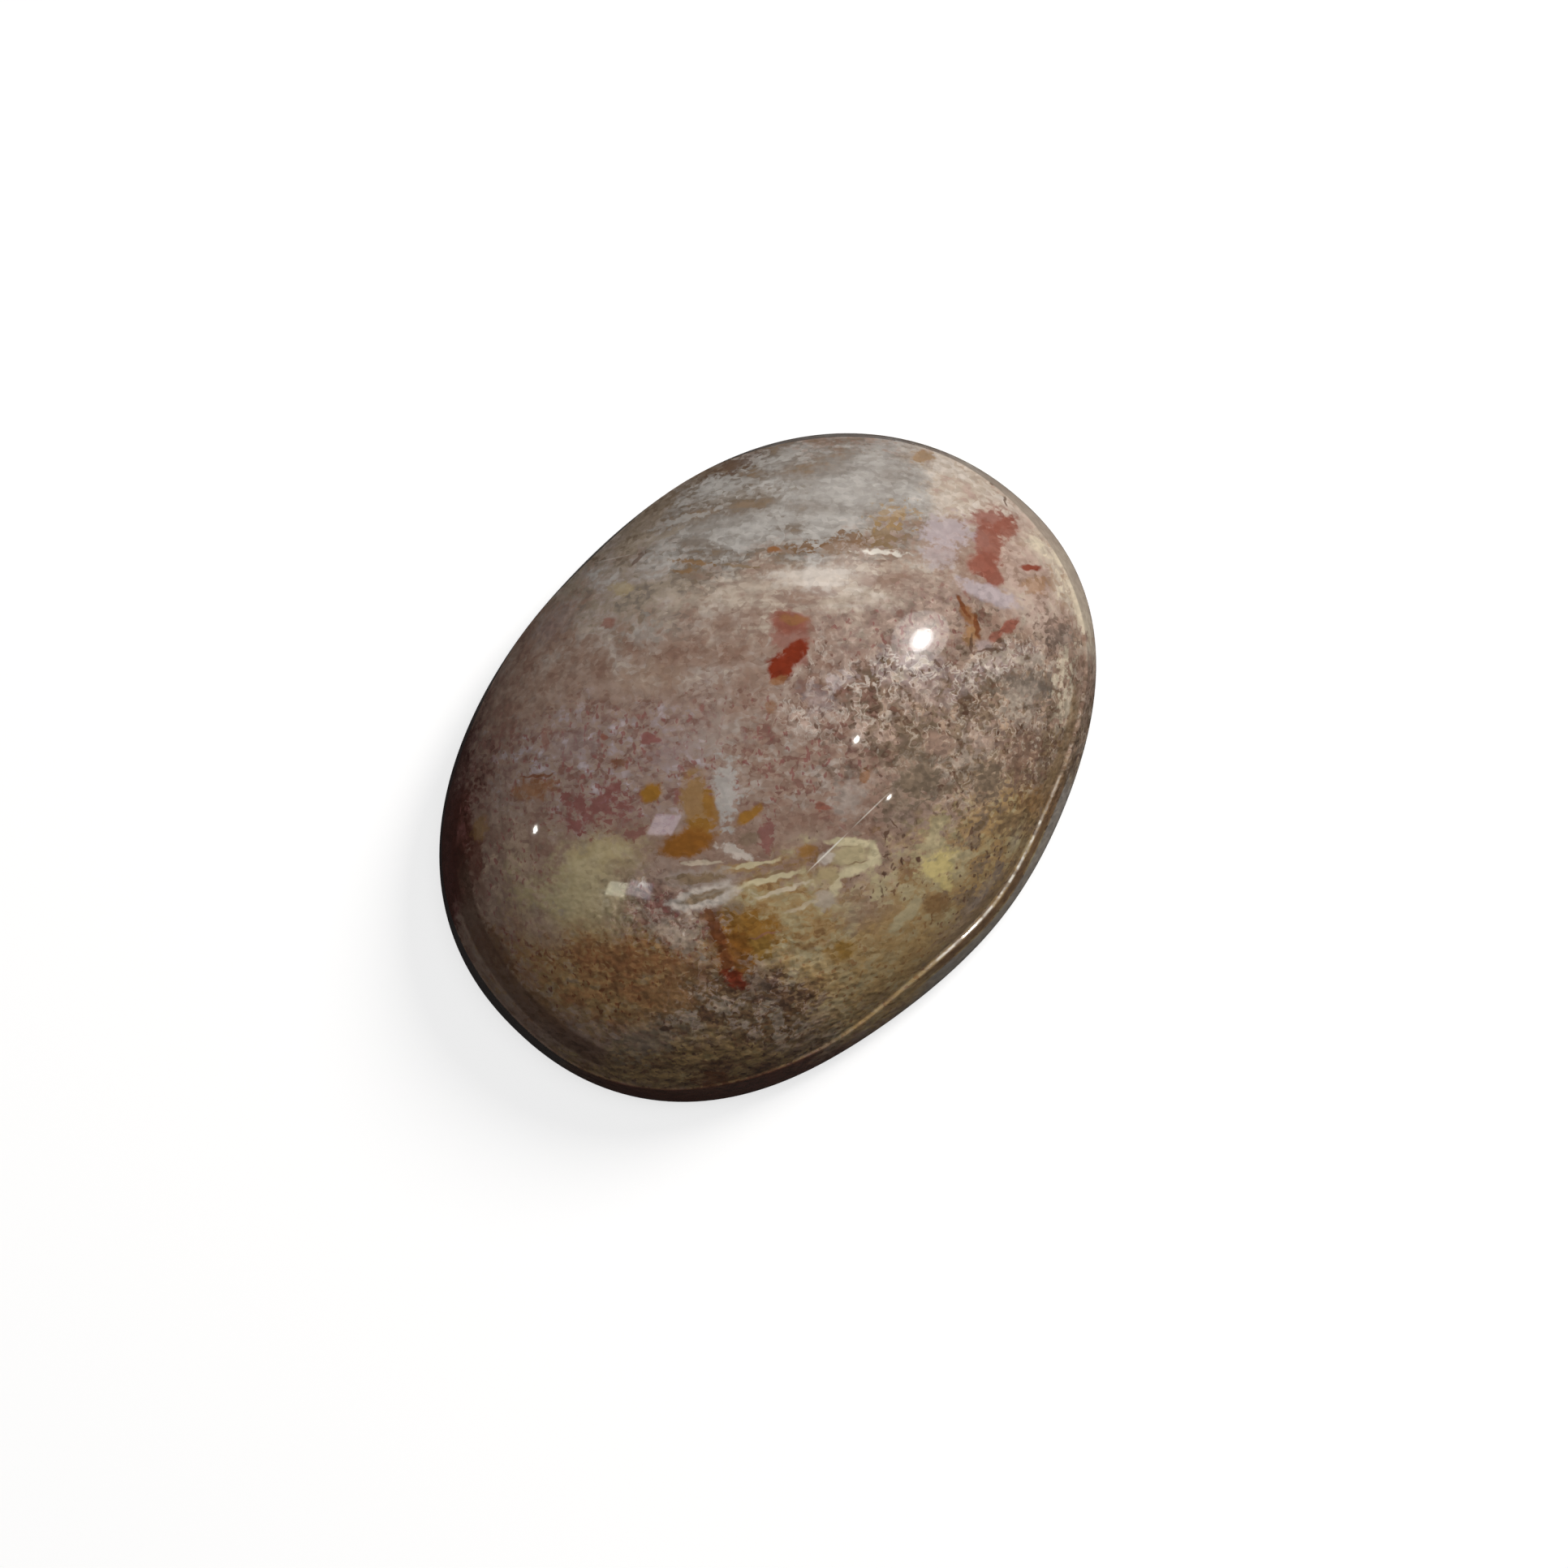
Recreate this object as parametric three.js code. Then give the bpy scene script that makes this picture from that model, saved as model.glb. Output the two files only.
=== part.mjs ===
// A polished oval cabochon of dendritic agate, one solid stone, lying on its flat back.
// Millimetres, +Z up, +X along the long axis. The origin is the middle of the flat back.
// From the back upwards the stone has a flat base, a small bevel, a rounded girdle, a steep
// narrow wall, a soft crease and a high dome. It was ground by hand, so the oval wanders a
// little, and the wall is broad on one side and all but gone on the other.
import * as THREE from "three";

const LENGTH = 28.0;
const WIDTH = 20.9;
const THICKNESS = 8.0;

// An exponent of 2 would be a plain ellipse; a little more fills out the shoulders of the oval.
const OVAL_EXPONENT = 2.14;
// What the grinding left of slow waves in the outline: waves round the oval, size as a share
// of the radius, and the angle in degrees of the first crest.
const OUTLINE_WAVES = [
  { count: 5, size: 0.005, crest: -10.8 },
  { count: 6, size: 0.0037, crest: -21.2 },
];

const BACK_BEVEL = 0.5;
const BEVEL_SHOULDER_INSET = 0.12;
const BEVEL_SHOULDER_HEIGHT = 0.42;
const GIRDLE_HEIGHT = 0.95;

// The crease between wall and dome, measured inwards from the outline and up from the back.
// The wall's broad side is given by its angle in degrees, and so is the first crest of the
// crease's slow waves.
const CREASE_INSET = 0.37;
const CREASE_INSET_LEAN = 0.2;
const CREASE_INSET_WAVE = 0.06;
const BROAD_SIDE = -112;
const CREASE_HEIGHT = 2.3;
const CREASE_HEIGHT_WAVE = 0.14;
const CREASE_WAVES = 8;
const CREASE_CREST = -9;

// The dome's section: fullness bends the crown, rounding turns the shoulders down, and reach
// says how near to upright the dome is where it meets the crease.
const DOME_FULLNESS = 2.15;
const DOME_ROUNDING = 0.55;
const DOME_REACH = 0.95;
// The top of the dome stands a little off the middle of the oval.
const APEX_SHIFT = new THREE.Vector2(0.5, -0.35);

const SIDES = 112;
const DOME_RINGS = 22;
const WALL_RINGS = 3;

// Radius of the outline at an angle, in radians from +X.
function outlineRadius(angle) {
  const alongX = Math.abs(Math.cos(angle) / (LENGTH / 2)) ** OVAL_EXPONENT;
  const alongY = Math.abs(Math.sin(angle) / (WIDTH / 2)) ** OVAL_EXPONENT;
  const oval = (alongX + alongY) ** (-1 / OVAL_EXPONENT);
  const waves = OUTLINE_WAVES.map(
    ({ count, size, crest }) => size * Math.cos(count * (angle - THREE.MathUtils.degToRad(crest))),
  );
  return oval * (1 + waves.reduce((sum, wave) => sum + wave, 0));
}

// How the crease wanders round the stone, from -1 to 1.
function creaseWave(angle) {
  return Math.cos(CREASE_WAVES * (angle - THREE.MathUtils.degToRad(CREASE_CREST)));
}

function creaseInset(angle) {
  const lean = Math.cos(angle - THREE.MathUtils.degToRad(BROAD_SIDE));
  return CREASE_INSET + CREASE_INSET_LEAN * lean + CREASE_INSET_WAVE * creaseWave(angle);
}

function creaseHeight(angle) {
  return CREASE_HEIGHT + CREASE_HEIGHT_WAVE * creaseWave(angle);
}

// Height of the dome above the crease as a share of its rise, at a share of the way out.
function domeShare(out) {
  const section = (x) => (1 - (DOME_REACH * x) ** DOME_FULLNESS) ** DOME_ROUNDING;
  return (section(out) - section(1)) / (section(0) - section(1));
}

// A ring of the stone gives the distance from the axis and the height at each angle.
function backRing(inset, height) {
  return (angle) => ({ radius: outlineRadius(angle) - inset, height, shift: 0 });
}

function wallRing(share) {
  return (angle) => ({
    radius: outlineRadius(angle) - share * creaseInset(angle),
    height: THREE.MathUtils.lerp(GIRDLE_HEIGHT, creaseHeight(angle), share ** 0.9),
    shift: 0,
  });
}

function domeRing(out) {
  return (angle) => ({
    radius: out * (outlineRadius(angle) - creaseInset(angle)),
    height: THREE.MathUtils.lerp(creaseHeight(angle), THICKNESS, domeShare(out)),
    shift: 1 - out * out,
  });
}

function stoneRings() {
  const axisPoint = () => ({ radius: 0, height: 0, shift: 0 });
  const rings = [axisPoint, backRing(BACK_BEVEL, 0)];
  rings.push(backRing(BEVEL_SHOULDER_INSET, BEVEL_SHOULDER_HEIGHT));
  for (let i = 0; i <= WALL_RINGS; i++) rings.push(wallRing(i / WALL_RINGS));
  for (let i = 1; i <= DOME_RINGS; i++) {
    rings.push(domeRing(Math.cos((i / DOME_RINGS) * (Math.PI / 2))));
  }
  rings[rings.length - 1] = domeRing(0);
  return rings;
}

// A lathe gives the stone its closed skin, and each of its rings is then drawn out to the oval.
function cabochonGeometry() {
  const rings = stoneRings();
  const profile = rings.map((ring, i) => new THREE.Vector2(ring(0).radius, i));
  const skin = new THREE.LatheGeometry(profile, SIDES);
  const position = skin.getAttribute("position");
  for (let i = 0; i < position.count; i++) {
    const side = Math.floor(i / rings.length) % SIDES;
    const angle = (side / SIDES) * 2 * Math.PI - Math.PI / 2;
    const { radius, height, shift } = rings[i % rings.length](angle);
    position.setXYZ(
      i,
      radius * Math.cos(angle) + shift * APEX_SHIFT.x,
      radius * Math.sin(angle) + shift * APEX_SHIFT.y,
      height,
    );
  }
  skin.computeVertexNormals();
  skin.computeBoundingBox();
  const middle = skin.boundingBox.getCenter(new THREE.Vector3());
  return skin.translate(-middle.x, -middle.y, 0);
}

const agate = new THREE.MeshStandardMaterial({
  color: 0x9c8779,
  roughness: 0.12,
  metalness: 0,
});

const cabochon = new THREE.Mesh(cabochonGeometry(), agate);
cabochon.name = "agate_cabochon";

const specimen = new THREE.Group();
specimen.add(cabochon);

export default specimen;
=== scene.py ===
"""A polished oval cabochon of dendritic agate, lying on a pale floor and seen from above."""

import math
from collections import namedtuple

import bmesh
import bpy
from mathutils import Matrix, Vector


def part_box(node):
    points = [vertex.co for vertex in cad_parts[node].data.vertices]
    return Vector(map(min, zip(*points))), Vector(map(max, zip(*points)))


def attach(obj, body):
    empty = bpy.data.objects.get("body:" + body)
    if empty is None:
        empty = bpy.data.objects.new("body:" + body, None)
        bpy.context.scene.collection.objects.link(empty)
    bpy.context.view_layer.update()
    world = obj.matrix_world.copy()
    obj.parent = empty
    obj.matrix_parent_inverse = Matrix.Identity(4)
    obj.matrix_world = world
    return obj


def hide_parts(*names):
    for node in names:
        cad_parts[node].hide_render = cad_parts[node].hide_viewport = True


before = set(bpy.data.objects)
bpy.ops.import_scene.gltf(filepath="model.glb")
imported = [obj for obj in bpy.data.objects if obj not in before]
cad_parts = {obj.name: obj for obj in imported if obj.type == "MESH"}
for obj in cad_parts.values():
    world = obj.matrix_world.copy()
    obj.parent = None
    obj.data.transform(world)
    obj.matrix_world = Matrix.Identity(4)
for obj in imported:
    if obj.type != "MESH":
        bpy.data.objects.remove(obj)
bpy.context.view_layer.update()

MM = 0.001

# The stone's own sizes in millimetres, as the solid has them. The wall's broad side and the first
# crest of the crease's waves are directions round the stone from its long axis.
LENGTH = 28.0
WIDTH = 20.9
THICKNESS = 8.0
OVAL_EXPONENT = 2.14
# Waves round the oval, their size as a share of the radius, and the first crest in degrees.
OUTLINE_WAVES = ((5, 0.005, -10.8), (6, 0.0037, -21.2))
BACK_BEVEL = 0.5
GIRDLE_HEIGHT = 0.95
CREASE_INSET = 0.37
CREASE_INSET_LEAN = 0.2
CREASE_INSET_WAVE = 0.06
BROAD_SIDE = math.radians(-112)
CREASE_HEIGHT = 2.3
CREASE_HEIGHT_WAVE = 0.14
CREASE_WAVES = 8
CREASE_CREST = math.radians(-9)
WALL_CURVE = 0.9
DOME_FULLNESS = 2.15
DOME_ROUNDING = 0.55
DOME_REACH = 0.95
APEX_SHIFT = Vector((0.5, -0.35))
# Where wall and dome meet, the polish has left a step, wide on one side of the stone only.
LEDGE_LEAST = 0.03
LEDGE_WIDTH = 0.15
LEDGE_SIDE = math.radians(-82)
LEDGE_RISE = 0.05

# How finely the skin is divided: sides round the stone, and rings in each part of its section.
SIDES = 240
BACK_RINGS = 8
BEVEL_RINGS = 6
WALL_RINGS = 12
LEDGE_RINGS = 3
DOME_RINGS = 72
DOME_CROWDING = 1.3
# Every point of the skin knows how far it lies inside the crease. Below the wall it has a fixed
# value instead, which tells the bevel and the back apart.
ON_BACK = -3
ON_BEVEL = -2

# The photograph, and where the stone lies in it.
PHOTO_SIDE = 1932
PHOTO_STONE_CENTRE = (946.6, 944.3)
PHOTO_PIXELS_PER_MM = 32.34
# The stone's long axis rises to the right by this angle as the camera sees it.
LONG_AXIS_ANGLE = math.radians(46.65)
CAMERA_DISTANCE = 200.0
CAMERA_LEAN = math.radians(4)
SENSOR_WIDTH = 36
# The camera sees nothing nearer or farther than these, in metres.
CLIP_START = 0.01
CLIP_END = 10

# What colours the stone, in linear light.
PIGMENTS = {
    "old_rose": (0.23, 0.12, 0.095),
    "dusty_rose": (0.26, 0.155, 0.115),
    "mauve": (0.29, 0.195, 0.165),
    "fawn": (0.31, 0.205, 0.155),
    "rose_beige": (0.35, 0.25, 0.20),
    "lilac": (0.36, 0.275, 0.26),
    "lilac_white": (0.48, 0.40, 0.41),
    "pearl": (0.41, 0.335, 0.29),
    "peach": (0.45, 0.32, 0.23),
    "shell": (0.49, 0.36, 0.30),
    "bone": (0.51, 0.42, 0.34),
    "milk": (0.66, 0.58, 0.51),
    "cream": (0.72, 0.62, 0.47),
    "ivory": (0.67, 0.58, 0.37),
    "stone_grey": (0.24, 0.195, 0.16),
    "blue_grey": (0.30, 0.265, 0.235),
    "milk_blue": (0.39, 0.36, 0.33),
    "silver": (0.48, 0.45, 0.42),
    "drab": (0.36, 0.29, 0.22),
    "olive_grey": (0.215, 0.155, 0.105),
    "taupe": (0.26, 0.185, 0.125),
    "smoke": (0.215, 0.15, 0.10),
    "bistre": (0.26, 0.17, 0.09),
    "sepia": (0.22, 0.12, 0.06),
    "cocoa": (0.28, 0.155, 0.065),
    "tan": (0.41, 0.26, 0.115),
    "honey": (0.50, 0.33, 0.145),
    "straw": (0.45, 0.35, 0.19),
    "pale_yellow": (0.51, 0.42, 0.25),
    "lemon": (0.68, 0.55, 0.24),
    "gold": (0.36, 0.20, 0.045),
    "amber": (0.33, 0.19, 0.08),
    "ochre": (0.32, 0.15, 0.025),
    "burnt_orange": (0.28, 0.11, 0.02),
    "sienna": (0.36, 0.19, 0.08),
    "rust": (0.29, 0.13, 0.055),
    "brick": (0.28, 0.095, 0.065),
    "flame_pink": (0.31, 0.14, 0.11),
    "vermilion": (0.22, 0.032, 0.012),
    "crimson": (0.26, 0.10, 0.088),
    "mahogany": (0.185, 0.058, 0.02),
    "umber": (0.13, 0.07, 0.045),
    "oxblood": (0.14, 0.045, 0.03),
    "maroon": (0.075, 0.017, 0.01),
    # Painted reflection: the grey that the wall at the lower left mirrors.
    "painted_floor_reflection": (0.12, 0.10, 0.095),
    # Painted highlight: near-white for lines where the polish mirrors a lamp.
    "painted_highlight": (1.0, 0.95, 0.85),
}

# The ground of the stone: pigments along the field of grain called cloud.
GROUND = ((0.26, "dusty_rose"), (0.5, "fawn"), (0.76, "rose_beige"))
# A zone is a broad part of the stone, soft at its edge: its middle in millimetres right and up
# of the stone's middle as the camera sees it, its half length and half width, how far its length
# is turned in degrees, the field of grain that mottles it, the pigments along that field, and then
# the pigments, if any, of the threads and of the specks in it.
Zone = namedtuple("Zone", "middle half_size turn field stops threads specks", defaults=(None, None))
ZONES = (
    Zone((-9.6, 1.4), (2.8, 2.0), 60, "grain",
         ((0.3, "old_rose"), (0.5, "dusty_rose"), (0.7, "fawn"))),
    Zone((-4.2, 4.0), (6.0, 2.4), 6, "cloud",
         ((0.22, "dusty_rose"), (0.36, "fawn"), (0.5, "rose_beige"), (0.66, "pearl"), (0.85, "bone"))),
    Zone((-6.5, 2.6), (4.0, 1.4), 3, "cloud",
         ((0.3, "dusty_rose"), (0.5, "fawn"), (0.72, "rose_beige"))),
    Zone((5.0, 5.8), (3.4, 2.0), 0, "grain",
         ((0.2, "old_rose"), (0.38, "mauve"), (0.6, "rose_beige"), (0.84, "shell")),
         None, "crimson"),
    Zone((1.2, 6.8), (5.2, 1.6), 5, "fibre",
         ((0.28, "fawn"), (0.4, "rose_beige"), (0.56, "bone"), (0.78, "milk"))),
    Zone((-4.8, 7.0), (2.8, 1.6), 10, "fibre",
         ((0.34, "stone_grey"), (0.46, "drab"), (0.6, "pearl"), (0.74, "silver"))),
    Zone((0.8, 10.2), (7.6, 2.6), 8, "fibre",
         ((0.33, "taupe"), (0.44, "stone_grey"), (0.57, "milk_blue"), (0.7, "silver"))),
    Zone((3.6, 10.8), (2.8, 1.5), 0, "fibre",
         ((0.28, "blue_grey"), (0.5, "milk_blue"), (0.7, "silver"), (0.85, "milk"))),
    Zone((8.0, 10.4), (2.6, 1.4), -35, "cloud",
         ((0.2, "shell"), (0.4, "bone"), (0.72, "milk"))),
    Zone((10.0, 7.2), (2.6, 1.6), -65, "cloud",
         ((0.22, "fawn"), (0.5, "shell"), (0.8, "bone"))),
    Zone((-4.4, 0.2), (7.0, 2.3), 3, "grain",
         ((0.24, "old_rose"), (0.4, "mauve"), (0.56, "rose_beige"), (0.7, "lilac"), (0.9, "lilac_white")),
         None, "crimson"),
    Zone((1.2, 0.6), (3.2, 2.4), 0, "grain",
         ((0.26, "old_rose"), (0.42, "fawn"), (0.58, "rose_beige"), (0.76, "pearl")),
         None, "crimson"),
    Zone((4.2, 2.4), (3.2, 1.7), -8, "moss",
         ((0.2, "old_rose"), (0.34, "dusty_rose"), (0.5, "rose_beige"), (0.7, "shell")),
         "milk", "umber"),
    Zone((8.6, 1.2), (4.8, 3.6), -8, "moss",
         ((0.2, "umber"), (0.34, "smoke"), (0.5, "taupe"), (0.64, "fawn"), (0.8, "peach")),
         "bone", "umber"),
    Zone((6.6, 3.7), (3.6, 0.8), 4, "moss",
         ((0.25, "smoke"), (0.42, "mauve"), (0.6, "lilac"), (0.8, "bone")), "milk", "umber"),
    Zone((3.4, -4.9), (3.0, 1.9), 20, "cloud",
         ((0.25, "cocoa"), (0.38, "fawn"), (0.55, "peach"), (0.75, "pale_yellow")), None, "umber"),
    Zone((7.8, -4.8), (5.8, 2.7), 48, "cloud",
         ((0.2, "bistre"), (0.36, "taupe"), (0.52, "tan"), (0.68, "straw"), (0.86, "pale_yellow")),
         None, "umber"),
    Zone((3.2, -7.6), (3.8, 2.2), 36, "cloud",
         ((0.2, "tan"), (0.42, "honey"), (0.8, "pale_yellow")), None, "sienna"),
    Zone((-9.8, -4.8), (2.8, 1.6), 80, "cloud",
         ((0.28, "dusty_rose"), (0.48, "fawn"), (0.7, "peach")), None, "crimson"),
    Zone((-6.9, -4.8), (2.2, 2.2), 0, "cloud",
         ((0.2, "drab"), (0.45, "straw"), (0.7, "pale_yellow"))),
    Zone((-3.8, -6.0), (2.7, 1.5), -20, "moss",
         ((0.22, "old_rose"), (0.38, "dusty_rose"), (0.58, "fawn"), (0.78, "peach"), (0.9, "milk")),
         "shell", "crimson"),
    Zone((0.6, -5.6), (2.8, 1.3), 14, "thread",
         ((0.25, "cocoa"), (0.42, "tan"), (0.62, "straw"), (0.8, "pale_yellow"), (0.92, "cream"))),
    Zone((-5.4, -8.2), (4.8, 2.0), -10, "thread",
         ((0.2, "rust"), (0.44, "sienna"), (0.62, "tan"), (0.86, "peach")),
         None, "mahogany"),
    Zone((-1.2, -9.4), (3.0, 1.7), 0, "moss",
         ((0.2, "umber"), (0.34, "sepia"), (0.5, "bistre"), (0.68, "drab"), (0.84, "peach")),
         "shell", "umber"),
    Zone((-3.0, -11.6), (5.0, 1.4), 3, "thread",
         ((0.24, "umber"), (0.36, "sepia"), (0.48, "bistre"), (0.64, "tan"), (0.84, "straw")),
         None, "umber"),
    Zone((-5.0, 9.9), (5.0, 0.9), 42, "fibre",
         ((0.3, "smoke"), (0.48, "drab"), (0.7, "pearl"))),
    Zone((-12.4, -3.0), (5.6, 1.3), 83, "cloud",
         ((0.3, "maroon"), (0.55, "oxblood"), (0.8, "crimson"))),
    # Partly the stone's cream layer and partly painted light coming through the thin upper right rim.
    Zone((12.0, 6.0), (3.4, 0.7), -66, "cloud",
         ((0.28, "peach"), (0.45, "bone"), (0.7, "cream"))),
)

# A mark is a smaller inclusion with a firmer edge: its pigment, middle, half length and half
# width as for a zone, how far its length is turned, how strongly it covers and how ragged it is.
Mark = namedtuple("Mark", "pigment middle half_size turn strength ragged", defaults=(0, 1, 0.5))
# Soft patches lie under the marks and melt into what is round them.
PATCHES = (
    Mark("blue_grey", (11.1, 4.9), (0.6, 0.5), 0, 0.6, 1.5),
    Mark("stone_grey", (9.9, 3.0), (1.9, 0.7), 5, 0.85, 1.2),
    Mark("umber", (11.0, 5.0), (0.8, 0.5), -60, 0.6, 2.5),
    Mark("bone", (10.0, 3.95), (0.8, 0.25), 5, 0.7, 2.5),
    Mark("bone", (9.5, 2.6), (0.6, 0.25), 20, 0.7, 2.0),
    Mark("cream", (11.3, 2.3), (0.7, 0.3), 75, 0.6, 2.5),
    Mark("olive_grey", (8.0, 3.1), (1.6, 0.6), 4, 0.4, 1.5),
    Mark("olive_grey", (5.6, 0.4), (1.0, 0.9), 0, 0.6, 1.5),
    Mark("bone", (5.8, -0.5), (1.0, 0.8), 20, 0.5, 1.8),
    Mark("peach", (8.42, -0.6), (0.8, 0.85), 0, 0.6, 1.5),
    Mark("silver", (2.6, 10.4), (1.8, 0.35), 4, 0.5, 1.5),
    Mark("milk_blue", (-0.6, 9.5), (2.2, 0.2), 8, 0.6, 1.5),
    Mark("umber", (8.0, 2.2), (1.2, 0.4), -16, 0.4, 3.5),
    Mark("shell", (5.9, 2.6), (1.0, 0.5), 10, 0.5, 3.0),
    Mark("umber", (9.9, 0.6), (0.5, 1.0), -20, 0.6, 3.5),
    Mark("bone", (8.9, 4.15), (0.7, 0.22), 5, 0.8, 3.0),
    Mark("bone", (9.6, 1.9), (0.8, 0.35), -30, 0.7, 3.5),
    Mark("bone", (7.4, 0.2), (0.7, 0.4), 30, 0.6, 3.5),
    Mark("cream", (11.2, 3.6), (0.9, 0.22), 80, 0.7, 2.5),
    Mark("olive_grey", (-1.2, 10.2), (2.0, 0.35), 8, 0.5, 1.5),
    Mark("olive_grey", (-4.6, 9.5), (2.2, 0.7), 40, 0.5, 1.5),
    Mark("smoke", (-2.6, 11.1), (2.4, 0.5), 28, 0.7, 1.5),
    Mark("milk_blue", (-2.2, 9.0), (1.6, 0.4), 8, 0.6, 1.5),
    Mark("milk_blue", (-4.7, 5.2), (0.8, 0.5), 0, 0.5, 1.5),
    Mark("lilac", (1.9, 2.6), (0.8, 0.5), -30, 0.7, 1.5),
    Mark("lilac_white", (2.6, 3.2), (0.4, 0.4), -50, 0.5, 1.5),
    Mark("lilac", (-3.6, 0.6), (1.2, 0.6), 20, 0.6, 1.5),
    Mark("shell", (8.3, 0.95), (0.9, 0.6), 0, 0.5, 2.5),
    Mark("dusty_rose", (9.6, 0.3), (1.0, 1.2), -20, 0.6, 2.0),
    Mark("cocoa", (10.2, -1.4), (1.2, 0.6), 20, 0.8, 1.2),
    Mark("bistre", (9.4, -2.1), (1.0, 0.5), 15, 0.8, 1.2),
    Mark("olive_grey", (5.0, -1.3), (0.9, 0.7), 0, 0.6, 1.5),
    Mark("pearl", (3.05, -1.25), (0.8, 0.6), 70, 0.8, 1.0),
    Mark("straw", (6.3, -2.3), (0.8, 0.35), 40, 0.8, 2.0),
    Mark("fawn", (3.6, -5.6), (1.1, 0.8), 0, 0.6, 1.2),
    Mark("tan", (4.4, -6.4), (1.2, 0.8), 40, 0.6, 1.2),
    Mark("gold", (2.8, -7.0), (0.5, 0.38), 10, 0.9, 0.8),
    Mark("peach", (7.4, -6.2), (1.4, 0.6), 50, 0.5, 1.5),
    # White silky streaks, partly the stone's fibres and partly painted sheen.
    Mark("milk", (1.54, 7.2), (1.7, 0.6), 4, 0.7, 1.0),
    Mark("bone", (-0.7, 6.8), (0.8, 0.4), 0, 0.6, 1.5),
    Mark("bone", (-3.6, 6.4), (0.8, 0.35), 0, 0.6, 1.5),
    Mark("blue_grey", (-2.4, 9.2), (2.0, 0.6), 8, 0.5, 1.5),
    Mark("fawn", (-0.6, 3.4), (0.9, 0.5), 0, 0.7, 1.2),
    Mark("peach", (-4.6, 3.4), (1.6, 0.6), 5, 0.3, 1.5),
    Mark("lilac", (-8.2, 5.4), (1.2, 0.6), 40, 0.4, 1.2),
    Mark("lilac", (-7.6, 0.8), (1.4, 0.6), 5, 0.4, 1.2),
    Mark("pearl", (-2.0, 1.3), (1.4, 0.8), 0, 0.5, 1.4),
    Mark("rust", (-8.96, -0.85), (1.0, 0.5), 5, 0.75, 1.0),
    Mark("peach", (-8.6, -6.2), (1.2, 0.6), -20, 0.6, 1.5),
    Mark("pale_yellow", (-6.8, -5.0), (1.8, 1.7), 0, 0.75, 0.9),
    Mark("crimson", (-6.7, -1.6), (1.5, 0.7), 6, 0.9, 2.2),
    Mark("rust", (-5.9, -7.3), (2.0, 0.7), -6, 0.8, 2.0),
    Mark("rust", (-3.6, -7.6), (0.8, 0.5), 0, 0.6, 1.5),
    Mark("sienna", (-4.0, -8.9), (1.4, 0.6), 15, 0.8, 1.8),
    Mark("drab", (-4.8, -10.6), (1.6, 0.6), 20, 0.5, 1.8),
    Mark("umber", (-0.5, -8.4), (1.0, 0.6), 0, 0.6, 1.5),
    Mark("umber", (0.4, -8.8), (0.7, 0.5), 0, 0.5, 2.0),
    Mark("peach", (1.9, -9.5), (0.7, 0.3), 60, 0.5, 2.5),
)
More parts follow.
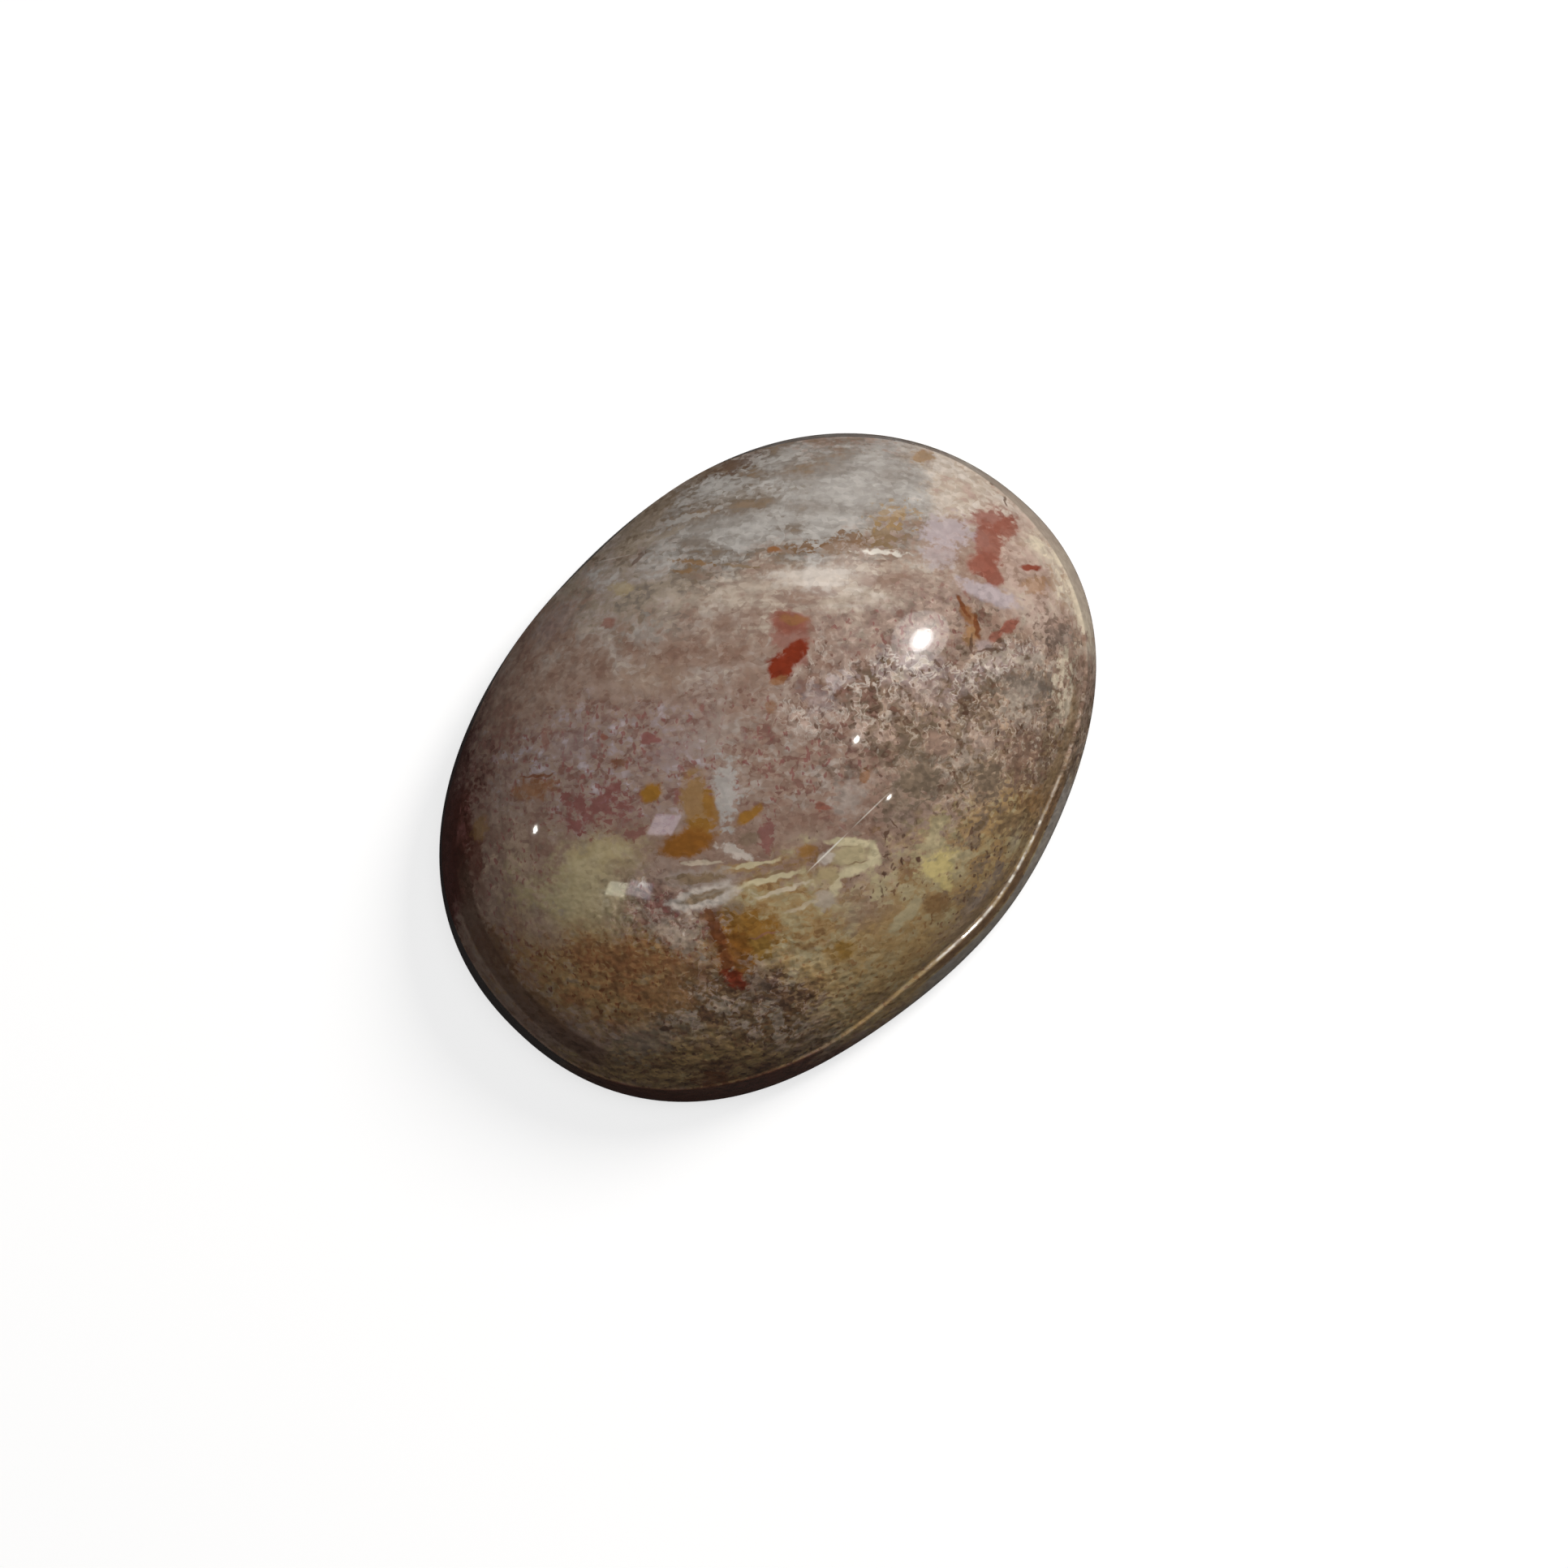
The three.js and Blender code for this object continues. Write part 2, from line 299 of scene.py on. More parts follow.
MARKS = (
    # The red flame over the middle.
    Mark("flame_pink", (0.85, 4.9), (0.72, 0.62), 0, 0.8, 0.6),
    Mark("brick", (0.83, 5.5), (0.8, 0.44), -4, 0.95, 0.3),
    Mark("rust", (0.98, 5.6), (0.6, 0.18), -6, 0.9, 0.4),
    Mark("flame_pink", (1.2, 4.1), (0.3, 0.3), 0, 0.8, 0.5),
    Mark("vermilion", (0.94, 4.28), (0.72, 0.34), 40, 1, 0.5),
    Mark("vermilion", (0.44, 3.78), (0.5, 0.5), 0, 1, 0.5),
    Mark("rust", (0.36, 3.3), (0.34, 0.16), 20, 0.8, 0.5),
    # The red flame at the right, with a white veil under it.
    Mark("flame_pink", (8.5, 9.36), (0.95, 0.48), 0, 0.95, 0.6),
    Mark("brick", (9.05, 9.14), (0.5, 0.46), 0, 0.85, 0.6),
    Mark("brick", (8.4, 8.5), (0.58, 0.9), 0, 0.9, 0.5),
    Mark("brick", (8.2, 7.72), (0.6, 0.48), 0, 0.95, 0.5),
    Mark("brick", (8.55, 7.25), (0.5, 0.34), -62, 0.95, 0.5),
    Mark("flame_pink", (8.15, 8.6), (0.34, 0.4), 0, 0.7, 0.8),
    Mark("lilac_white", (8.4, 6.6), (1.3, 0.32), -20, 0.95, 0.6),
    Mark("lilac_white", (6.8, 8.95), (0.95, 0.65), 0, 0.85, 1),
    Mark("lilac_white", (6.5, 8.1), (0.7, 0.5), 0, 0.6, 1),
    Mark("vermilion", (10.01, 7.58), (0.42, 0.13), -3, 0.9, 0.2),
    Mark("sienna", (10.2, 6.9), (0.5, 0.3), 0, 0.5, 1.0),
    Mark("rust", (7.6, 5.75), (0.5, 0.24), -58, 0.9, 0.5),
    Mark("sienna", (7.72, 5.05), (0.4, 0.3), 80, 0.8, 0.6),
    Mark("mahogany", (7.42, 6.1), (0.5, 0.1), -62, 0.95, 0.3),
    Mark("mahogany", (7.93, 5.35), (0.5, 0.1), -84, 0.9, 0.3),
    Mark("umber", (7.73, 4.67), (0.3, 0.06), 88, 0.8, 0.3),
    Mark("brick", (9.2, 5.36), (0.45, 0.2), 40, 0.95, 0.6),
    Mark("brick", (8.7, 4.98), (0.28, 0.18), 30, 0.8, 0.6),
    Mark("lilac", (8.24, 4.63), (0.3, 0.28), 0, 0.8, 0.4),
    Mark("umber", (8.79, 4.79), (0.1, 0.1), 0, 0.9, 0.2),
    Mark("umber", (8.48, 4.43), (0.5, 0.07), 4, 0.8, 0.4),
    Mark("umber", (9.0, 10.1), (0.22, 0.055), -65, 0.8, 0.2),
    Mark("umber", (8.6, 10.75), (0.2, 0.06), -25, 0.8, 0.2),
    # Partly the stone's cream layer and partly painted light coming through the thin upper right rim.
    Mark("cream", (11.24, 7.86), (0.65, 0.26), -62, 0.8, 1.0),
    Mark("cream", (11.83, 6.05), (1.4, 0.24), -70, 0.8, 1.0),
    # Veils and threads near the top.
    Mark("rust", (0.25, 8.26), (0.28, 0.1), 4, 1, 0.3),
    Mark("sepia", (1.5, 8.33), (0.6, 0.14), 0, 0.8, 3.0),
    Mark("sepia", (2.9, 8.5), (0.9, 0.26), 8, 0.8, 2.6),
    Mark("bistre", (4.45, 8.85), (0.7, 0.36), 30, 0.8, 2.6),
    Mark("tan", (4.8, 9.5), (0.6, 0.4), 0, 0.6, 2.6),
    # Painted highlight: the bright jagged streak of sheen on the polish.
    Mark("painted_highlight", (4.22, 8.16), (0.95, 0.12), -4, 0.6, 1.0),
    # White silky streaks, partly the stone's fibres and partly painted sheen.
    Mark("milk", (1.5, 7.35), (1.5, 0.13), 3, 0.8, 0.8),
    Mark("milk", (1.8, 6.95), (1.2, 0.12), -2, 0.8, 0.8),
    Mark("amber", (5.91, 11.8), (0.42, 0.28), 0, 0.7, 0.8),
    Mark("umber", (-4.98, 7.9), (0.45, 0.1), 40, 0.7, 0.8),
    Mark("silver", (-3.0, 9.5), (1.2, 0.14), 14, 0.7, 1.5),
    Mark("silver", (-1.4, 9.0), (1.1, 0.11), 6, 0.7, 1.5),
    Mark("silver", (0.9, 9.4), (1.2, 0.12), 5, 0.6, 1.5),
    Mark("drab", (-4.2, 8.7), (1.2, 0.13), 25, 0.7, 1.5),
    Mark("stone_grey", (-2.8, 8.55), (0.9, 0.13), -6, 0.7, 1.0),
    Mark("cocoa", (-2.9, 7.78), (0.85, 0.1), -8, 0.8, 1.4),
    Mark("cocoa", (-3.2, 7.45), (0.4, 0.08), 0, 0.7, 1.4),
    Mark("bistre", (-1.1, 7.65), (0.7, 0.07), -6, 0.7, 1.0),
    Mark("straw", (-5.57, 6.76), (0.5, 0.28), 0, 0.6, 0.8),
    Mark("brick", (-6.1, 5.5), (0.33, 0.2), 25, 0.6, 0.6),
    Mark("smoke", (-5.25, 5.26), (0.13, 0.13), 0, 0.7, 0.4),
    Mark("smoke", (-4.87, 5.65), (0.13, 0.13), 0, 0.6, 0.4),
    Mark("umber", (-1.3, 11.5), (0.9, 0.3), 22, 0.6, 2.0),
    # Crimson stains in the rosy part.
    Mark("brick", (-8.5, 1.05), (0.2, 0.42), 10, 0.5, 0.8),
    Mark("crimson", (-4.55, 1.05), (0.45, 0.2), -3, 0.9, 0.8),
    Mark("brick", (-6.24, 1.12), (0.13, 0.12), 0, 0.8, 0.4),
    Mark("mahogany", (-5.75, 0.15), (0.38, 0.18), 10, 0.7, 0.8),
    Mark("mahogany", (-8.75, -0.35), (0.75, 0.06), 5, 0.8, 0.4),
    Mark("crimson", (-7.3, -2.3), (0.4, 0.24), 20, 0.9, 1.2),
    Mark("crimson", (-6.0, -0.9), (0.4, 0.2), 10, 0.8, 1.2),
    Mark("crimson", (-5.0, -2.6), (0.5, 0.2), 12, 0.8, 1.4),
    Mark("crimson", (-4.1, -5.4), (0.6, 0.4), 0, 0.7, 2.0),
    Mark("crimson", (-0.1, -2.6), (0.3, 0.5), 0, 0.8, 2.0),
    Mark("crimson", (-3.45, -1.1), (0.35, 0.16), 80, 0.7, 0.8),
    Mark("brick", (2.1, -1.55), (0.26, 0.16), 0, 0.8, 0.8),
    Mark("rust", (3.66, -0.4), (0.3, 0.2), 60, 0.7, 0.8),
    Mark("rust", (0.1, 2.2), (0.2, 0.24), 0, 0.5, 0.6),
    # Golden drops and the golden crescent, on a silver veil.
    Mark("silver", (-1.6, -1.0), (0.5, 1.3), 0, 0.8, 1.2),
    Mark("ochre", (-4.44, -1.0), (0.46, 0.36), 40, 1, 0.4),
    Mark("amber", (-2.72, -1.4), (1.2, 0.62), 100, 0.95, 0.6),
    Mark("ochre", (-2.2, -1.6), (0.85, 0.26), 102, 0.8, 0.8),
    Mark("ochre", (-2.6, -2.45), (0.55, 0.45), 30, 0.9, 0.8),
    Mark("burnt_orange", (-3.1, -2.95), (1.05, 0.52), 15, 1.0, 0.4),
    Mark("ochre", (-0.74, -1.87), (0.62, 0.22), 35, 0.95, 0.4),
    Mark("ochre", (1.45, -3.2), (0.36, 0.26), 10, 0.8, 0.5),
    Mark("smoke", (-0.73, -2.75), (0.4, 0.26), 0, 0.7, 0.8),
    # White-edged ribbons under the crescent.
    Mark("milk", (-1.2, -3.3), (0.75, 0.2), -20, 0.8, 1.0),
    Mark("tan", (-1.5, -3.95), (1.3, 0.22), 8, 0.8, 1.0),
    Mark("ivory", (-0.6, -3.72), (1.0, 0.09), 12, 0.8, 0.6),
    Mark("cream", (-2.6, -3.7), (0.9, 0.08), 5, 0.6, 0.8),
    Mark("milk", (-3.4, -5.15), (0.45, 0.26), 20, 0.8, 1.0),
    Mark("pearl", (-2.5, -4.25), (1.5, 0.4), 4, 0.7, 0.8),
    Mark("bistre", (-2.6, -4.28), (1.2, 0.2), 4, 0.8, 0.8),
    Mark("milk", (-2.4, -5.0), (1.3, 0.42), 16, 0.95, 0.4),
    Mark("bistre", (-2.45, -4.95), (1.0, 0.17), 16, 0.85, 0.3),
    Mark("drab", (-2.2, -4.85), (0.7, 0.05), 16, 0.8, 0.3),
    Mark("ivory", (0.0, -4.3), (1.2, 0.12), 15, 0.9, 0.4),
    Mark("bistre", (0.1, -4.1), (0.8, 0.06), 14, 0.7, 0.3),
    Mark("cream", (0.5, -4.75), (1.1, 0.1), 17, 0.7, 0.5),
    Mark("tan", (0.3, -5.05), (1.2, 0.07), 18, 0.6, 0.4),
    Mark("cream", (1.4, -5.3), (0.8, 0.1), 20, 0.5, 0.6),
    Mark("taupe", (-1.29, -5.41), (0.38, 0.36), 0, 0.8, 0.4),
    # The pale loop, its yellow heart and its tail.
    Mark("ivory", (3.2, -2.94), (0.85, 0.2), -5, 0.95, 0.5),
    Mark("ivory", (4.02, -3.4), (0.21, 0.48), 0, 0.95, 0.4),
    Mark("ivory", (3.42, -3.88), (0.8, 0.2), 22, 0.95, 0.5),
    Mark("ivory", (2.55, -4.6), (0.68, 0.2), 60, 0.8, 0.5),
    Mark("bone", (2.2, -5.1), (0.45, 0.36), 0, 0.8, 0.7),
    Mark("pale_yellow", (3.1, -3.4), (0.78, 0.4), 5, 1.0, 0.3),
    Mark("bistre", (3.35, -3.67), (0.42, 0.035), 12, 0.7, 0.3),
    Mark("bistre", (3.0, -3.05), (0.4, 0.03), -3, 0.5, 0.3),
    Mark("straw", (2.3, -4.1), (0.4, 0.34), 0, 0.9, 0.6),
    Mark("milk", (2.2, -3.5), (0.34, 0.22), 40, 0.7, 0.6),
    # The lemon patch with its arms.
    Mark("cocoa", (5.4, -3.95), (0.5, 0.55), 0, 0.6, 1),
    Mark("pale_yellow", (6.5, -3.6), (1.15, 0.85), 0, 0.7, 1.4),
    Mark("lemon", (6.45, -3.72), (0.7, 0.5), 20, 1.0, 1.0),
    Mark("pale_yellow", (6.35, -2.75), (0.8, 0.3), 70, 0.9, 1.0),
    Mark("lemon", (6.75, -4.4), (0.45, 0.24), -55, 0.8, 1.0),
    Mark("pale_yellow", (7.5, -3.4), (0.6, 0.16), 15, 0.7, 1.0),
    Mark("umber", (5.68, -3.55), (0.12, 0.12), 0, 1, 0.2),
    Mark("umber", (5.13, -3.58), (0.05, 0.14), 0, 1, 0.2),
    Mark("pale_yellow", (5.19, -5.72), (0.95, 0.2), 46, 0.95, 0.6),
    Mark("cocoa", (6.41, -5.25), (0.5, 0.45), 0, 0.8, 0.6),
    # Dark strokes beside the loop.
    Mark("umber", (4.48, -2.64), (0.22, 0.055), 75, 0.9, 0.3),
    Mark("umber", (4.79, -2.25), (0.2, 0.045), -62, 0.8, 0.3),
    Mark("umber", (5.14, -2.62), (0.12, 0.05), 80, 0.8, 0.3),
    Mark("umber", (4.46, -3.42), (0.18, 0.045), 10, 0.8, 0.3),
    Mark("umber", (4.4, -4.08), (0.08, 0.09), 0, 0.8, 0.3),
    Mark("umber", (4.3, -4.7), (0.06, 0.18), 0, 0.7, 0.3),
    # Smooth grey eyes in the moss.
    Mark("fawn", (6.5, 0.85), (0.55, 0.5), 0, 0.9, 1.2),
    Mark("olive_grey", (5.75, -0.5), (0.8, 0.6), 20, 0.9, 1.2),
    Mark("olive_grey", (8.42, -0.6), (0.6, 0.65), 0, 0.9, 1.2),
    # Brown and dark inclusions.
    Mark("ochre", (-0.75, -6.4), (1.15, 0.9), 0, 0.9, 1.0),
    Mark("gold", (-0.3, -6.9), (0.5, 0.4), 0, 0.9, 1.0),
    Mark("burnt_orange", (-1.35, -7.1), (0.7, 0.9), 0, 0.85, 1.2),
    Mark("mahogany", (-2.0, -6.2), (1.0, 0.24), -66, 0.9, 0.8),
    Mark("mahogany", (-1.6, -7.4), (0.6, 0.26), -80, 0.8, 0.9),
    Mark("vermilion", (-1.3, -8.1), (0.55, 0.3), -30, 0.85, 0.9),
    Mark("rust", (-2.4, -5.68), (0.3, 0.15), 0, 0.6, 0.7),
    Mark("flame_pink", (-0.1, -6.42), (0.6, 0.06), 15, 0.6, 0.5),
    Mark("bone", (-3.57, -6.4), (1.1, 0.45), -35, 0.6, 2.4),
    Mark("umber", (-3.85, -10.0), (0.3, 0.09), -5, 0.9, 0.4),
    Mark("mahogany", (-2.0, -11.9), (0.9, 0.25), 0, 0.6, 1.2),
    Mark("oxblood", (-11.13, -3.53), (0.85, 0.4), 85, 0.7, 0.6),
    Mark("amber", (-11.0, -2.35), (0.5, 0.34), 80, 0.7, 0.8),
    Mark("umber", (-10.3, -6.9), (1.2, 0.3), -55, 0.6, 0.6),
    Mark("sepia", (-8.5, -9.2), (1.3, 0.3), -50, 0.7, 0.8),
    Mark("umber", (-7.2, -10.8), (1.1, 0.2), -38, 0.5, 0.8),
)
# How far out an inclusion is reckoned, in its own half sizes.
REACH = 4.0
# How far an inclusion goes down into the stone from its place on the skin.
MARK_DEPTH = 1.6
ZONE_DEPTH = 14.0
# How far edges are pushed about, so that nothing keeps the shape of an ellipse.
ZONE_PUSH = 1.6
PATCH_PUSH = 0.35
MARK_PUSH = 0.16
# An edge in half sizes: all of the pigment inside the first, and none outside the second.
ZONE_EDGE = (0.6, 1.4)
MOSSY_EDGE = (0.6, 1.3)
PATCH_EDGE = (0.3, 1.3)
MARK_EDGE = (0.65, 1.25)
HAIRLINE_EDGE = (0.5, 1.3)
RIM_EDGE = (0.7, 1.2)
# How much the grain eats into an edge. A mark's own raggedness is taken so many times.
ZONE_RAGGEDNESS = 1.0
RIM_RAGGEDNESS = 0.3
MARK_RAGGEDNESS = 1.6

# Straight hairlines, drawn unbroken through the grain. The two bright ones are cracks painted
# # with the highlight that they catch.
HAIRLINES = (
    Mark("painted_highlight", (2.28, -3.26), (0.95, 0.032), 44, 0.75, 0.2),
    Mark("painted_highlight", (3.9, -1.68), (0.9, 0.027), 44, 0.45, 0.2),
    Mark("milk", (-6.0, 7.9), (0.9, 0.03), 10, 0.4, 0.2),
)

# Where the stone is mossy its grain stands out most: middle, half size and turn as for a zone.
MOSSY_PARTS = (
    ((7.6, 1.2), (5.8, 4.2), -8),
    ((-2.4, -9.4), (6.5, 3.4), 0),
    ((-3.8, -5.9), (2.6, 1.6), -20),
)

# The rim is painted by its distance inside the crease, which is less than nothing on the wall:
# from and to, in millimetres, and then a middle, half size and turn as for a zone, to say which
# side of the stone it is on.
RimBand = namedtuple("RimBand", "pigment inner outer middle half_size turn strength beaded")
RIM_BANDS = (
    RimBand("umber", 0.4, 1.2, (-9.4, -8.2), (5.0, 2.2), -54, 0.75, False),
    # Painted light: a pale band inside the crease where light comes through the edge.
    RimBand("pearl", 0.5, 1.0, (9.2, -5.8), (5.0, 1.6), 50, 0.45, False),
    RimBand("bistre", 0.16, 0.5, (9.2, -5.8), (5.6, 1.8), 50, 0.6, False),
    RimBand("bistre", 0.1, 0.6, (11.8, 0.4), (2.8, 1.4), 75, 0.7, False),
    RimBand("maroon", -3.5, 0.7, (-12.6, -2.6), (6.0, 1.6), 80, 0.75, False),
    # Painted reflection: the grey that the wall at the lower left mirrors.
    RimBand("painted_floor_reflection", -3.5, 0.0, (-9.8, -8.6), (5.0, 2.4), -54, 0.9, False),
    RimBand("oxblood", -3.5, 0.1, (-1.5, -12.6), (7.0, 2.2), 8, 0.9, False),
    RimBand("sepia", -0.6, 0.0, (10.0, -4.8), (7.4, 2.6), 52, 0.8, False),
    # Painted reflection: the pale grey that the steep wall at the right mirrors.
    RimBand("milk_blue", -3.5, -0.6, (10.0, -4.8), (7.4, 2.6), 52, 0.8, False),
    # Partly the stone's cream layer and partly painted light on the wall at the upper right.
    RimBand("bone", -3.5, 0.0, (10.6, 8.8), (3.8, 1.8), -60, 0.8, False),
    RimBand("umber", -0.07, 0.02, (4.0, -8.0), (12.0, 7.0), 30, 0.6, False),
    # Painted highlight: a bright beaded line along the crease at the lower right.
    RimBand("painted_highlight", 0.0, 0.15, (10.2, -4.6), (5.8, 2.4), 52, 0.95, True),
)

# What the polish mirrors: where the camera sees each lamp, how wide and high it is, its watts and
# its colour, whether it is round or a window, and how far it is spun, in degrees. The three after
# the first have its place and give it a soft halo. The last is a broad faint sheen.
Glint = namedtuple("Glint", "middle size watts colour round turn", defaults=(True, 0))
GLINTS = (
    Glint((5.92, 4.77), (23, 23), 0.11, (1, 1, 1)),
    Glint((5.92, 4.77), (38, 38), 0.05, (1, 0.98, 0.96)),
    Glint((5.92, 4.77), (60, 60), 0.05, (1, 0.98, 0.96)),
    Glint((5.92, 4.77), (92, 92), 0.07, (1, 0.98, 0.96)),
    Glint((3.41, 1.06), (5, 5), 0.008, (1, 0.97, 0.92)),
    Glint((4.53, -1.17), (4, 4), 0.005, (1, 0.95, 0.88)),
    Glint((-8.92, -2.31), (5, 5), 0.008, (1, 0.97, 0.92)),
    Glint((-3.95, -2.28), (33, 23), 0.0085, (0.9, 0.82, 1), False, -13),
    Glint((-5.85, -4.63), (26, 19), 0.0078, (1, 1, 0.78), False, -6),
    Glint((-4.95, -4.66), (26, 19), 0.0042, (0.85, 0.85, 1), False, -6),
    Glint((2.7, 7.5), (90, 90), 0.03, (1, 0.98, 0.96)),
)
# How far each stands from the stone, in millimetres.
GLINT_DISTANCE = 260

# The soft lamps that light the stone and that its polish doesn't mirror: azimuth in degrees from
# the photograph's right towards its up, tilt from straight up, distance, width, watts, colour.
SoftLamp = namedtuple("SoftLamp", "name azimuth tilt distance width watts colour")
SOFT_LAMPS = (
    SoftLamp("key", 46, 55, 300, 110, 0.71, (1, 0.97, 0.935)),
    SoftLamp("fill", 60, 12, 350, 240, 0.35, (0.97, 0.985, 1)),
)

# The finish: a clear polish over matter that scatters light, and a back that is hardly polished.
BODY_ROUGHNESS = 0.45
POLISH_ROUGHNESS = 0.05
AGATE_IOR = 1.54
BACK_POLISH = 0.35
# How much the grain darkens and lightens the stone where it is mossy, how much of that shows
# elsewhere, and how much a mossy part adds to it.
DARKEST_GRAIN = -0.3
LIGHTEST_GRAIN = 0.24
PLAIN_GRAIN = 0.35
MOSSY_GRAIN = 0.65
# The grain's relief under the polish, in millimetres.
GRAIN_RELIEF = 0.08

# The floor and the room are pale to the camera, and the light that they give the stone is weaker.
# The floor's radius is in metres.
FLOOR_RADIUS = 1.2
FLOOR_SEEN = (0.45, 0.45, 0.45, 1)
FLOOR_LIT = (0.06, 0.06, 0.06, 1)
FLOOR_GLOW = 0.7
ROOM_SEEN = (0.95, 0.95, 0.95, 1)
ROOM_LIGHT = (0.078, 0.075, 0.072, 1)


def outline_radius(angle):
    along_x = abs(math.cos(angle) / (LENGTH / 2)) ** OVAL_EXPONENT
    along_y = abs(math.sin(angle) / (WIDTH / 2)) ** OVAL_EXPONENT
    oval = (along_x + along_y) ** (-1 / OVAL_EXPONENT)
    waves = 0
    for count, size, crest in OUTLINE_WAVES:
        waves += size * math.cos(count * (angle - math.radians(crest)))
    return oval * (1 + waves)


def crease_wave(angle):
    return math.cos(CREASE_WAVES * (angle - CREASE_CREST))


def crease_inset(angle):
    lean = math.cos(angle - BROAD_SIDE)
    return CREASE_INSET + CREASE_INSET_LEAN * lean + CREASE_INSET_WAVE * crease_wave(angle)


def crease_height(angle):
    return CREASE_HEIGHT + CREASE_HEIGHT_WAVE * crease_wave(angle)


def dome_section(x):
    return (1 - (DOME_REACH * x) ** DOME_FULLNESS) ** DOME_ROUNDING


def dome_share(out):
    """Height above the crease as a share of the dome's rise, at a share of the way out."""
    return (dome_section(out) - dome_section(1)) / (dome_section(0) - dome_section(1))


def mix(a, b, share):
    return a + (b - a) * share


def pigment(name):
    """A pigment as a colour socket takes it."""
    return (*PIGMENTS[name], 1)


def ledge_width(angle):
    facing = (1 + math.cos(angle - LEDGE_SIDE)) / 2
    return mix(LEDGE_LEAST, LEDGE_WIDTH, facing**2)


# A ring of the skin gives, at each angle, its distance from the axis, its height, how much of the
# dome's off-centre shift it takes, and how far it lies inside the crease (outside if negative).
def back_ring(share):
    return lambda angle: (share * (outline_radius(angle) - BACK_BEVEL), 0, 0, ON_BACK)


def bevel_ring(turn):
    def at(angle):
        radius = outline_radius(angle) - BACK_BEVEL * (1 - math.sin(turn))
        return radius, GIRDLE_HEIGHT * (1 - math.cos(turn)), 0, ON_BEVEL

    return at


def wall_ring(share):
    def at(angle):
        height = mix(GIRDLE_HEIGHT, crease_height(angle), share**WALL_CURVE)
        inside = (share - 1) * (crease_height(angle) - GIRDLE_HEIGHT)
        return outline_radius(angle) - share * crease_inset(angle), height, 0, inside

    return at


def ledge_ring(share):
    """The narrow polished step where the wall ends and the dome begins."""

    def at(angle):
        inside = share * ledge_width(angle)
        radius = outline_radius(angle) - crease_inset(angle) - inside
        return radius, crease_height(angle) + share * LEDGE_RISE, 0, inside

    return at


def dome_ring(out):
    def at(angle):
        ledge = ledge_width(angle)
        foot = outline_radius(angle) - crease_inset(angle) - ledge
        height = mix(crease_height(angle) + LEDGE_RISE, THICKNESS, dome_share(out))
        return out * foot, height, 1 - out * out, ledge + (1 - out) * foot

    return at


def stone_rings():
    """From the middle of the back, round the bevel and up the wall, to the top of the dome."""
    rings = [back_ring(i / BACK_RINGS) for i in range(BACK_RINGS)]
    rings += [bevel_ring(i / BEVEL_RINGS * math.pi / 2) for i in range(BEVEL_RINGS)]
    rings += [wall_ring(i / WALL_RINGS) for i in range(WALL_RINGS)]
    rings += [ledge_ring(i / LEDGE_RINGS) for i in range(LEDGE_RINGS)]
    rings += [dome_ring(1 - (i / DOME_RINGS) ** DOME_CROWDING) for i in range(DOME_RINGS)]
    return rings + [dome_ring(0)]


def make_stone(box):
    """The stone's skin: a round profile spun once about, then each ring drawn out to the oval."""
    rings = stone_rings()
    bm = bmesh.new()
    ring_of = bm.verts.layers.int.new("ring")
    inside_crease = bm.verts.layers.float.new("inside_crease")
    profile = []
    for i, ring in enumerate(rings):
        radius, height, _, _ = ring(0)
        profile.append(bm.verts.new((radius, 0, height)))
        profile[-1][ring_of] = i
    for lower, upper in zip(profile, profile[1:]):
        bm.edges.new((lower, upper))
    bmesh.ops.spin(
        bm,
        geom=bm.verts[:] + bm.edges[:],
        cent=(0, 0, 0),
        axis=(0, 0, 1),
        angle=2 * math.pi,
        steps=SIDES,
        use_merge=True,
    )
    bmesh.ops.remove_doubles(bm, verts=bm.verts, dist=1e-5)
    for v in bm.verts:
        angle = math.atan2(v.co.y, v.co.x)
        radius, height, shift, v[inside_crease] = rings[v[ring_of]](angle)
        v.co.x = radius * math.cos(angle) + shift * APEX_SHIFT.x
        v.co.y = radius * math.sin(angle) + shift * APEX_SHIFT.y
        v.co.z = height
    bmesh.ops.recalc_face_normals(bm, faces=bm.faces)
    bmesh.ops.scale(bm, vec=(MM, MM, MM), verts=bm.verts)
    for face in bm.faces:
        face.smooth = True
    back_edge = [e for e in bm.edges if {v[ring_of] for v in e.verts} == {BACK_RINGS}]
    for edge in back_edge:
        edge.smooth = False
    centre_on(bm, box)
    mesh = bpy.data.meshes.new("agate_stone")
    bm.to_mesh(mesh)
    bm.free()
    stone = bpy.data.objects.new("agate_stone", mesh)
    bpy.context.scene.collection.objects.link(stone)
    return stone


def centre_on(bm, box):
    """Moves the skin sideways until its middle is the middle of the solid's box."""
    low, high = box
    for axis in (0, 1):
        values = [v.co[axis] for v in bm.verts]
        off = (low[axis] + high[axis]) / 2 - (min(values) + max(values)) / 2
        for v in bm.verts:
            v.co[axis] += off


def view_axes():
    """The photograph's right, its up, and the way from the stone back to the camera."""
    level = Vector((math.cos(LONG_AXIS_ANGLE), -math.sin(LONG_AXIS_ANGLE), 0))
    back = math.sin(CAMERA_LEAN) * level + math.cos(CAMERA_LEAN) * Vector((0, 0, 1))
    right = (level - level.dot(back) * back).normalized()
    return right, back.cross(right), back


